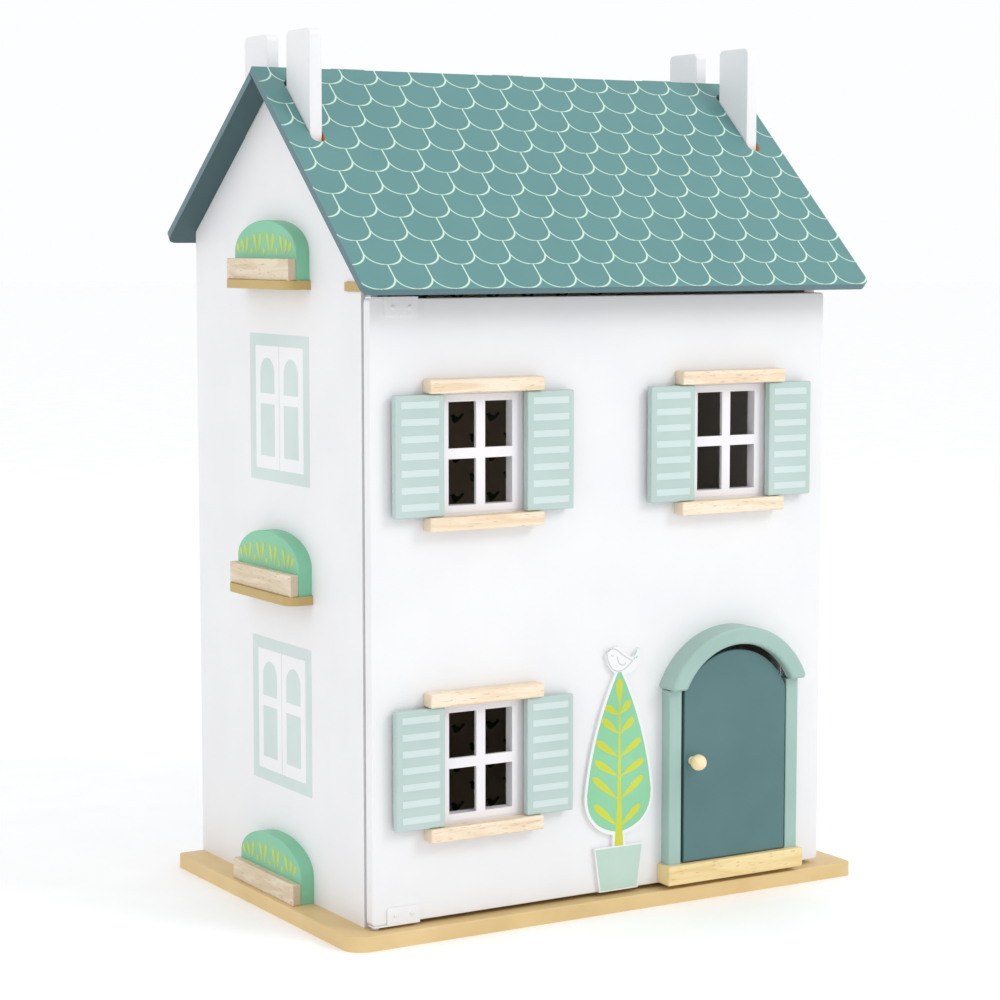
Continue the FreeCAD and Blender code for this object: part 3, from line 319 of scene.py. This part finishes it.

# %% [markdown]
# ## Faces, edges and slots of the roof board
# The same kind of list says which part of the board a point is on. The panel is 6 mm thick, so the
# distance out from its underside tells the printed face, the underside and the sawn edge apart; the
# underside gets a darker teal as painted shade. The raw fibreboard is limited to a few millimetres
# round the lower end of a slot.

# %% Board arithmetic
FACE_FROM = 5.85         # the printed face is 6 mm out
UNDERSIDE_TO = 0.15
CORE_MIDDLE = 3.0
CORE_HALF = 2.8
SLOT_X = 208.25
SLOT_REACH = 6.2         # half of a slot's width and a little more
RAW_END = 12.0           # unpainted stretch at the lower end of a chimney slot
RAW_PAST = 0.2

BOARD_STEPS = (
    ("on face", "GREATER_THAN", "out", FACE_FROM),
    ("on underside", "LESS_THAN", "out", UNDERSIDE_TO),
    ("from house middle", "ABSOLUTE", "along"),
    ("from slot", "SUBTRACT", "from house middle", SLOT_X),
    ("slot gap", "ABSOLUTE", "from slot"),
    ("near slot", "LESS_THAN", "slot gap", SLOT_REACH),
    ("below raw top", "GREATER_THAN", "down", "raw top"),
    ("above raw foot", "LESS_THAN", "down", "raw foot"),
    ("from core", "SUBTRACT", "out", CORE_MIDDLE),
    ("core gap", "ABSOLUTE", "from core"),
    ("in core", "LESS_THAN", "core gap", CORE_HALF),
    ("slot end", "MULTIPLY", "near slot", "below raw top"),
    ("cut board", "MULTIPLY", "above raw foot", "in core"),
    ("milled", "MULTIPLY", "slot end", "cut board"),
)
print("board steps:", len(BOARD_STEPS))

# %% [markdown]
# ## From the steps to the roof's finish
# One loop turns both lists into nodes. The colours are then laid over one another as the maker would
# do it: edge paint, with a darker teal on the underside as painted shade, the print over the face, and
# the raw board where the cutter went.
# The ink is a little raised, and so is the peel of the paint below it.

# %% Printed roof
APEX = (0.0, 0.0, 664.5 * MM)
INK_SOFT = 0.2           # the printed line fades over this distance each side of its edge


def printed_roof(name, slope_deg, outwards, slot_foot):
    """outwards is -1 for the front panel and 1 for the back one."""
    material, tree, shader = start_finish(name, IOR=1.47, Coat_Weight=0.08, Coat_Roughness=0.35)
    slope = math.radians(slope_deg)
    axes = {"down": (0, outwards * math.cos(slope), -math.sin(slope)),
            "out": (0, outwards * math.sin(slope), math.cos(slope))}

    place = add(tree, "ShaderNodeTexCoord").outputs["Object"]
    local = add(tree, "ShaderNodeVectorMath", {0: place, 1: APEX}, operation="SUBTRACT").outputs[0]
    in_mm = add(tree, "ShaderNodeVectorMath", {0: local, "Scale": 1000.0}, operation="SCALE").outputs[0]
    known = {"along": add(tree, "ShaderNodeSeparateXYZ", {0: in_mm}).outputs["X"],
             "raw top": slot_foot - RAW_END, "raw foot": slot_foot + RAW_PAST}
    for direction, axis in axes.items():
        reach = add(tree, "ShaderNodeVectorMath", {0: in_mm, 1: axis}, operation="DOT_PRODUCT")
        known[direction] = reach.outputs["Value"]
    for result, operation, *parts in SHINGLE_STEPS + BOARD_STEPS:
        values = {n: known.get(part, part) for n, part in enumerate(parts)}
        known[result] = add(tree, "ShaderNodeMath", values, operation=operation).outputs[0]

    ink = add(tree, "ShaderNodeMapRange",
              {"Value": known["past line"], "From Min": INK_SOFT, "From Max": -INK_SOFT}).outputs["Result"]
    patch = add(tree, "ShaderNodeTexNoise", {"Vector": place, "Scale": 1000 / PATCH_MM, "Detail": 4.0})
    uneven = patch.outputs["Fac"]
    layers = {"uneven": uneven, "ink": ink, **known}
    for result, where, under, over in (
            ("print tone", "uneven", "#518182", "#5e8e8d"),
            ("printed", "ink", "print tone", "#c3e0cd"),
            ("edge tone", "uneven", "#506f76", "#58787f"),
            # painted shade: the underside takes a darker teal than the edges, though both carry the same
            # paint
            ("board tone", "on underside", "edge tone", "#335156"),
            ("painted", "on face", "board tone", "printed"),
            ("finished", "milled", "painted", "#c8864a")):
        below, above = [linear(tone) if tone[0] == "#" else layers[tone] for tone in (under, over)]
        mix = add(tree, "ShaderNodeMixRGB", {"Fac": layers[where], "Color1": below, "Color2": above})
        layers[result] = mix.outputs["Color"]

    grit = add(tree, "ShaderNodeTexNoise", {"Vector": place, "Scale": 1000 / PEEL_MM, "Detail": 2.0})
    peel = add(tree, "ShaderNodeMath", {0: grit.outputs["Fac"], 1: 0.5}, operation="MULTIPLY")
    raised = add(tree, "ShaderNodeMath", {0: ink, 1: 0.5, 2: peel.outputs[0]}, operation="MULTIPLY_ADD")
    bump = add(tree, "ShaderNodeBump", {"Height": raised.outputs[0], "Strength": 0.12, "Distance": 0.3 * MM})
    rough = add(tree, "ShaderNodeMapRange", {"Value": uneven, "To Min": 0.4, "To Max": 0.52})
    tree.links.new(layers["finished"], shader.inputs["Base Color"])
    tree.links.new(rough.outputs["Result"], shader.inputs["Roughness"])
    tree.links.new(bump.outputs["Normal"], shader.inputs["Normal"])
    return material


dress(printed_roof("teal_shingle_print_front", 42.5, -1, slot_foot=83.2), "roof_front_panel")
dress(printed_roof("teal_shingle_print_back", 37.5, 1, slot_foot=76.7), "roof_back_panel")
print("roof panels printed")

# %% [markdown]
# ## Metal
# The screws and pins are zinc-plated steel, and the catch is a nickel-plated magnet. The corner brackets
# are pressed steel with white powder coat. Plated steel is a metal with fine wire-drawn streaks, so its
# gloss changes along them. Powder coat is a paint with a coarser peel.

# %% Metal
STREAK_MM = 0.5


def plated_steel(name, colour, rough_from, rough_to):
    material, tree, shader = start_finish(name, Metallic=1.0)
    place = add(tree, "ShaderNodeTexCoord").outputs["Object"]
    drawn = add(tree, "ShaderNodeMapping", {"Vector": place, "Scale": (0.2, 1.0, 1.0)})
    streaks = add(tree, "ShaderNodeTexNoise",
                  {"Vector": drawn.outputs["Vector"], "Scale": 1000 / STREAK_MM, "Detail": 3.0})
    stain = add(tree, "ShaderNodeMixRGB",
                {"Fac": streaks.outputs["Fac"], "Color1": linear(colour), "Color2": linear("#8f9194")})
    rough = add(tree, "ShaderNodeMapRange",
                {"Value": streaks.outputs["Fac"], "To Min": rough_from, "To Max": rough_to})
    bump = add(tree, "ShaderNodeBump",
               {"Height": streaks.outputs["Fac"], "Strength": 0.1, "Distance": 0.1 * MM})
    tree.links.new(stain.outputs["Color"], shader.inputs["Base Color"])
    tree.links.new(rough.outputs["Result"], shader.inputs["Roughness"])
    tree.links.new(bump.outputs["Normal"], shader.inputs["Normal"])
    return material


zinc = plated_steel("zinc_plated_steel", "#c9cbce", 0.28, 0.48)
nickel = plated_steel("nickel_plate", "#d6d3cc", 0.12, 0.26)
powder = sprayed_paint("white_powder_coat", "#e9e9ea", "#e2e2e4", gloss=(0.3, 0.42), peel=0.25)
dress(powder, "top_pivot_bracket", "bottom_pivot_bracket", "pivot_bracket_screws")
dress(nickel, "catch_magnet")
steel_starts = ("roof_hinge", "roof_back_screws", "base_screws")
dress(zinc, "catch_plate", *[n for n in nodes if n.startswith(steel_starts) or n.endswith("_pins")])
print("metal finished")

# %% [markdown]
# ## Tools for printed decoration
# The bars on the shutters, the leaf marks, the tree and the windows on the side walls are screen prints:
# layers of ink a fraction of a millimetre thick. They could be drawn in the materials, but crisp shapes
# at given places are easier to read and to change as thin pieces. Each is drawn flat in millimetres, with
# +X to its right and +Y up, then raised by the ink's thickness and laid on its wall by one matrix.

# %% Tools for printed decoration
INK_MM = 0.18
SUNK_MM = 0.04           # the ink's underside lies this far inside its wall
TURNS = {"front": 0, "left": -90, "back": 180, "right": 90}


def corners(name):
    """Lowest and highest corner of a CAD node, in millimetres."""
    low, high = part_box(name)
    return Vector(low) / MM, Vector(high) / MM


def onto(facing, x, y, z):
    """The matrix that stands a flat drawing on a wall that faces that way."""
    turn = Matrix.Rotation(math.radians(TURNS[facing]), 4, "Z")
    return Matrix.Translation((x, y, z)) @ turn @ Matrix.Rotation(math.radians(90), 4, "X")


def outline(bm, points):
    """A disc whose rim is pulled out to the given points."""
    rim = bmesh.ops.create_circle(bm, cap_ends=True, segments=len(points), radius=1)["verts"]
    for vert, point in zip(rim, points):
        vert.co = (point[0], point[1], 0)


def bar(bm, x, y, width, height):
    at = Matrix.Translation((x, y, 0)) @ Matrix.Diagonal((width / 2, height / 2, 1, 1))
    bmesh.ops.create_grid(bm, x_segments=1, y_segments=1, size=1, matrix=at)


def through(start, middle, end, count=8):
    """Points on the curve from start to end that passes through middle."""
    start, middle, end = Vector(start), Vector(middle), Vector(end)
    bend = middle * 2 - (start + end) / 2
    steps = [n / count for n in range(count + 1)]
    return [start * (1 - t) ** 2 + bend * 2 * t * (1 - t) + end * t ** 2 for t in steps]


def drop(bm, root, tip, width, segments=18):
    """A leaflet: narrow at its root, round at its tip."""
    root, tip = Vector(root), Vector(tip)
    run = tip - root
    side = Vector((-run.y, run.x)).normalized() * width * 0.62
    points = []
    for n in range(segments):
        turn = math.tau * n / segments
        share = (1 + math.cos(turn)) / 2
        points.append(root + run * share + side * math.sin(turn) * share ** 0.75)
    outline(bm, points)


def stroke(bm, points, width):
    """A pen line: a strip of squares bent along its points."""
    points = [Vector(point) for point in points]
    steps = len(points) - 1
    strip = bmesh.ops.create_grid(bm, x_segments=steps, y_segments=1, size=1)["verts"]
    for vert in strip:
        here = round((vert.co.x + 1) / 2 * steps)
        run = points[min(here + 1, steps)] - points[max(here - 1, 0)]
        spot = points[here] + Vector((-run.y, run.x)).normalized() * vert.co.y * width / 2
        vert.co = (spot.x, spot.y, 0)


def lay_print(name, bm, ink, matrix, body, thick=INK_MM):
    """Raise a flat drawing by the ink's thickness, lay it on its wall and let it ride there."""
    bmesh.ops.solidify(bm, geom=bm.faces[:], thickness=thick + SUNK_MM)
    low = min(vert.co.z for vert in bm.verts)
    bmesh.ops.translate(bm, verts=bm.verts[:], vec=(0, 0, -low - SUNK_MM))
    bmesh.ops.transform(bm, verts=bm.verts[:], matrix=matrix)
    bmesh.ops.recalc_face_normals(bm, faces=bm.faces[:])
    bmesh.ops.scale(bm, verts=bm.verts[:], vec=(MM, MM, MM))
    mesh = bpy.data.meshes.new(name)
    bm.to_mesh(mesh)
    bm.free()
    mesh.materials.append(ink)
    piece = bpy.data.objects.new(name, mesh)
    bpy.context.scene.collection.objects.link(piece)
    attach(piece, body)


print("ink thickness", INK_MM, "mm")

# %% [markdown]
# ## The louvres on the shutters
# A real louvred shutter has slats. On this toy each slat is one lighter printed bar, seven to a shutter,
# on both faces, so that a closed shutter looks the same as an open one. The bars are squares from a
# grid, stretched and stacked. Each shutter's own box in the frame gives their place.

# %% Shutter bars
BAR_W = 32.6
BAR_H = 5.3
BAR_PITCH = 12.9
BAR_TOP = 4.9
BAR_COUNT = 7

shutters = [name for name in nodes if "_shutter_" in name]
for name in shutters:
    low, high = corners(name)
    middle_x = (low.x + high.x) / 2
    for facing, y in (("front", low.y), ("back", high.y)):
        drawing = bmesh.new()
        for n in range(BAR_COUNT):
            bar(drawing, 0, -BAR_TOP - BAR_H / 2 - n * BAR_PITCH, BAR_W, BAR_H)
        lay_print(f"{name}_{facing}_bars", drawing, bar_mint, onto(facing, middle_x, y, high.z),
                  name)
print("barred shutters:", len(shutters))

# %% [markdown]
# ## The printed windows on the side walls
# The side walls have no openings. Each storey has a printed window instead: a pale green surround, a white
# pair of casements parted by a thin grey line, and two panes in each, the upper one with a round head.
# A round head is half a disc, whose cut edge is pulled down to make the straight sides. Each colour
# is a separate print run, so each is a separate layer, a little higher than the last.

# %% Side windows
WINDOW_PRINTS = (344.0, 96.5)     # heights of the two surrounds' lower edges
SURROUND = (106.5, 118.5)
CASEMENT = (85.0, 99.0)
PANE_W = 25.6
PANE_X = 21.2
UPPER_PANE = (70.5, 28.8)         # lower edge above the surround's, and height
LOWER_PANE = (20.0, 42.0)
PARTING_W = 1.1

surround_mint = sprayed_paint("pale_green_screen_print", "#c9d7d4", "#c2d1ce", peel=0.05)
casement_white = sprayed_paint("white_screen_print", "#e7e7e8", "#e4e4e6", peel=0.05)
line_grey = sprayed_paint("grey_screen_print", "#d3d9da", "#c9cfd1", peel=0.05)


def round_headed(bm, x, y, width, height):
    at = Matrix.Translation((x, y + height - width / 2, 0))
    before = set(bm.verts)
    bmesh.ops.create_circle(bm, cap_ends=True, segments=32, radius=width / 2, matrix=at)
    disc = [vert for vert in bm.verts if vert not in before]
    parts = {item for vert in disc for item in (vert, *vert.link_edges, *vert.link_faces)}
    cut = bmesh.ops.bisect_plane(bm, geom=list(parts), dist=1e-5, plane_co=at.translation,
                                 plane_no=(0, -1, 0), clear_outer=True)
    edges = [item for item in cut["geom_cut"] if isinstance(item, bmesh.types.BMEdge)]
    made = bmesh.ops.extrude_edge_only(bm, edges=edges)["geom"]
    feet = [item for item in made if isinstance(item, bmesh.types.BMVert)]
    bmesh.ops.translate(bm, verts=feet, vec=(0, width / 2 - height, 0))


for facing, wall_name in (("left", "left_gable_wall"), ("right", "right_gable_wall")):
    low, high = corners(wall_name)
    wall_x = low.x if facing == "left" else high.x
    for storey, foot in zip(("upper", "lower"), WINDOW_PRINTS):
        place = onto(facing, wall_x, 0, foot)
        start = f"{facing}_{storey}_printed_window_"
        surround, casement, panes, parting = (bmesh.new() for n in range(4))
        bar(surround, 0, SURROUND[1] / 2, *SURROUND)
        bar(casement, 0, SURROUND[1] / 2, *CASEMENT)
        bar(parting, 0, SURROUND[1] / 2, PARTING_W, CASEMENT[1])
        for side in (-1, 1):
            round_headed(panes, side * PANE_X, UPPER_PANE[0], PANE_W, UPPER_PANE[1])
            bar(panes, side * PANE_X, LOWER_PANE[0] + LOWER_PANE[1] / 2, PANE_W, LOWER_PANE[1])
        layers = ((surround, "surround", surround_mint, 0.10),
                  (casement, "casement", casement_white, 0.16),
                  (panes, "panes", surround_mint, 0.22),
                  (parting, "line", line_grey, 0.22))
        for drawing, word, ink, thick in layers:
            lay_print(start + word, drawing, ink, place, "house", thick)
print("printed windows:", 2 * len(WINDOW_PRINTS))

# %% [markdown]
# ## Leaf marks on the planters
# Each half-round green board carries lime brush marks: slim drops that stand in pairs like the letter V,
# with small dots between them, taller in the middle than at the ends. One function draws a drop, and
# the marks differ only in place and length.

# %% Leaf marks
lime_print = sprayed_paint("lime_screen_print", "#c6cd3e", "#b9c234", peel=0.06)
PAIRS = (-34.6, -11.4, 11.8, 35.0)      # feet of the V pairs, from the board's middle
DOTS = (-23.0, -0.8, 22.0)
MARK_FOOT = 19.8                        # above the ledge
MARK_W = 4.6
MARK_TOP = 37.8
MARK_FALL = 0.0032                      # the tops fall by this times the square of the distance
DOT_W = 4.2


def mark_top(x):
    """The tops of the marks follow the board's round top."""
    return MARK_TOP - MARK_FALL * x * x


for name in [n for n in nodes if n.endswith("_plant_board")]:
    low, high = corners(name)
    facing = "left" if low.x < 0 else "right"
    drawing = bmesh.new()
    for foot in PAIRS:
        drop(drawing, (foot - 1.7, MARK_FOOT), (foot - 7.0, mark_top(foot - 7.0)), MARK_W)
        drop(drawing, (foot + 1.7, MARK_FOOT), (foot + 4.8, mark_top(foot + 4.8)), MARK_W)
    drop(drawing, (-45.0, MARK_FOOT + 0.5), (-49.5, 29.0), MARK_W)
    drop(drawing, (43.0, MARK_FOOT + 0.5), (47.5, 30.0), MARK_W)
    for x in DOTS:
        drop(drawing, (x, MARK_FOOT - 1.0), (x + 0.4, MARK_FOOT + 5.5), DOT_W, segments=12)
    place = onto(facing, low.x if facing == "left" else high.x, 0, low.z)
    lay_print(name + "_marks", drawing, lime_print, place, "house")
print("marked planters:", sum(n.endswith("_plant_board") for n in nodes))

# %% [markdown]
# ## The tree in its pot
# The tree is one thin board cut to its outline, painted white and printed: a green crown that stops short
# of the edge, a lime stem with paired leaflets, a pale pot, and a small bird drawn with a grey pen line.
# The crown's outline is four curves, each through three points, and the board's own edge is moved inwards
# with an inset, so that the white margin is the same all round.

# %% Tree crown, stem and pot
TREE_X = 10.0
CROWN_LOW = 61.0
CROWN_WIDE = 96.0
CROWN_TIP = 196.0
CROWN_HALF = 33.0
MARGIN = 2.4
POT_FOOT = 15.7
POT_TOP = 52.2

leaf_green = sprayed_paint("leaf_green_screen_print", "#88c79c", "#80bf94", peel=0.06)
pot_mint = sprayed_paint("mint_screen_print", "#b8d0c5", "#b1cabe", peel=0.06)
pen_grey = sprayed_paint("warm_grey_screen_print", "#c4c8c6", "#b9bdbb", peel=0.05)
leaf_teal = sprayed_paint("teal_screen_print", "#a3cdbf", "#96c1b3", peel=0.05)

tree_face = onto("front", TREE_X, corners("tree_plaque")[0].y, 0)


def lay_on_tree(name, drawing, ink, thick):
    lay_print(name, drawing, ink, tree_face, "swinging_front", thick)


crown = bmesh.new()
middle = (CROWN_WIDE + CROWN_TIP) / 2
right_low = through((0, CROWN_LOW), (CROWN_HALF * 0.76, CROWN_LOW + 11.2), (CROWN_HALF, CROWN_WIDE))
right_high = through((CROWN_HALF, CROWN_WIDE), (CROWN_HALF * 0.69, middle + 1), (3.0, CROWN_TIP))
right_side = right_low[:-1] + right_high
left_side = [Vector((-point.x, point.y)) for point in reversed(right_side[1:])]
outline(crown, right_side + left_side)
rim = bmesh.ops.inset_region(crown, faces=crown.faces[:], thickness=MARGIN, use_boundary=True,
                             use_even_offset=True)
bmesh.ops.delete(crown, geom=rim["faces"], context="FACES")
lay_on_tree("tree_crown_print", crown, leaf_green, 0.12)

JOINTS = (162.5, 147.0, 128.0, 112.0, 93.0, 71.0)
LEFT_TIPS = ((-13.4, 167.0), (-16.6, 157.0), (-22.6, 139.6),
             (-23.4, 123.6), (-25.4, 110.5), (-24.1, 88.0))
RIGHT_TIPS = ((10.3, 169.5), (14.0, 155.5), (20.5, 137.8),
              (23.8, 121.0), (23.1, 107.3), (20.5, 84.0))
leaflets = bmesh.new()
for joint, tips in zip(JOINTS, zip(LEFT_TIPS, RIGHT_TIPS)):
    for tip in tips:
        drop(leaflets, (0, joint - 4), tip, 7.0)
drop(leaflets, (0, 165.0), (0, 188.5), 7.2)
lay_on_tree("tree_leaflet_print", leaflets, lime_print, 0.16)

stem = bmesh.new()
outline(stem, [(-4.3, POT_TOP), (4.3, POT_TOP), (3.4, 62), (2.0, 90), (1.2, 130), (0.6, 172),
               (-0.6, 172), (-1.2, 130), (-2.0, 90), (-3.4, 62)])
lay_on_tree("tree_stem_print", stem, lime_print, 0.2)

pot = bmesh.new()
outline(pot, [(-17.3, POT_FOOT + 1.2), (17.3, POT_FOOT + 1.2),
              (22.2, POT_TOP - 1.2), (-22.2, POT_TOP - 1.2)])
lay_on_tree("tree_pot_print", pot, pot_mint, 0.16)
print("crown print", round(2 * (CROWN_HALF - MARGIN), 1), "mm wide")

# %% [markdown]
# ## The bird on the tree
# The bird is drawn with one pen: a line along its back, a line along its belly, a short beak and a folded
# wing. Each is a curve through three points, or two such curves joined, turned into a strip as wide as
# the pen. It carries a sprig of three small teal leaves.

# %% Bird
PEN = 0.85
FINE_PEN = 0.7
bird = bmesh.new()
back_line = through((-13.5, 209.7), (-7.2, 212.8), (-0.6, 210.2))
back_line += through((-0.6, 210.2), (5.2, 205.7), (12.4, 201.8))[1:]
belly_line = through((-12.2, 209.3), (-10.9, 203.0), (-7.6, 197.1))
belly_line += through((-7.6, 197.1), (1.6, 194.6), (12.2, 201.6))[1:]
beak_line = through((-8.4, 208.2), (-7.1, 207.0), (-5.9, 207.5), 4)
wing_line = through((-2.2, 206.4), (-0.9, 201.3), (2.3, 199.1))
wing_line += through((2.3, 199.1), (4.4, 199.3), (5.8, 200.8), 4)[1:]
for line, width in ((back_line, PEN), (belly_line, PEN), (beak_line, FINE_PEN), (wing_line, PEN)):
    stroke(bird, line, width)
lay_on_tree("bird_pen_print", bird, pen_grey, 0.16)

sprig = bmesh.new()
for root, tip in (((13.4, 205.0), (16.2, 209.6)),
                  ((13.2, 202.4), (14.6, 204.4)),
                  ((15.2, 203.4), (17.4, 205.2))):
    drop(sprig, root, tip, 1.5, segments=12)
lay_on_tree("bird_sprig_print", sprig, leaf_teal, 0.2)
print("bird drawn")

# %% [markdown]
# ## Wallpaper
# The two lower rooms have a printed cream paper on their back wall, which shows through the windows: rows
# of small dark green birds, each row moved by half a step. A bird is a few rounded shapes, drawn once as
# points and set down again and again. A room has dozens, so each has only a few dozen faces.

# %% Wallpaper
BIRD_STEP_X = 37.0
BIRD_STEP_Z = 18.0
paper = sprayed_paint("cream_wallpaper", "#e0d4c4", "#d3c5b3", gloss=(0.6, 0.75), peel=0.12)
bird_ink = sprayed_paint("dark_green_wallpaper_print", "#4f6a5b", "#466152", gloss=(0.6, 0.75), peel=0.05)
dress(paper, "wallpaper_panels")
paper_low, paper_high = corners("wallpaper_panels")
rooms = ((corners("base_board")[1].z, corners("first_floor_board")[0].z),
         (corners("first_floor_board")[1].z, corners("attic_floor_board")[0].z))

flock = bmesh.new()
draw = random.Random(7)
count = 0
for floor_z, ceiling_z in rooms:
    row = 0
    z = floor_z + 10
    while z < ceiling_z - 12:
        x = paper_low.x + 18 + (row % 2) * BIRD_STEP_X / 2
        while x < paper_high.x - 12:
            dx = x + draw.uniform(-0.6, 0.6)
            breast = through((dx - 5.6, z + 2.2), (dx - 3.2, z - 3.4), (dx + 3.0, z - 0.8), 5)
            tail = [Vector((dx + 7.2, z + 3.6)), Vector((dx + 5.6, z + 5.4))]
            back = through((dx + 1.8, z + 2.0), (dx - 1.4, z + 2.9), (dx - 3.2, z + 5.0), 4)
            beak = [Vector((dx - 5.4, z + 4.0)), Vector((dx - 7.2, z + 3.0))]
            outline(flock, breast + tail + back + beak)
            count += 1
            x += BIRD_STEP_X
        z += BIRD_STEP_Z
        row += 1
lay_print("wallpaper_bird_print", flock, bird_ink, onto("front", 0, paper_low.y, 0),
          "house", 0.1)
print("birds on the wallpaper:", count)

# %% [markdown]
# ## The floor of the studio
# A wide pale sheet, a little rough so that it takes soft shadows and no mirror image. It is a circle from
# bmesh, far larger than the house, and its faint mottle keeps it from looking like a flat fill.

# %% Floor
floor_paper = sprayed_paint("white_studio_paper", "#ffffff", "#fdfdfd", gloss=(0.75, 0.85), peel=0.02)
FLOOR_RADIUS = 30.0      # metres
sheet = bmesh.new()
bmesh.ops.create_circle(sheet, cap_ends=True, segments=64, radius=FLOOR_RADIUS)
floor_mesh = bpy.data.meshes.new("studio_floor")
sheet.to_mesh(floor_mesh)
sheet.free()
floor_mesh.materials.append(floor_paper)
studio_floor = bpy.data.objects.new("studio_floor", floor_mesh)
bpy.context.scene.collection.objects.link(studio_floor)
print("floor radius", FLOOR_RADIUS, "m")
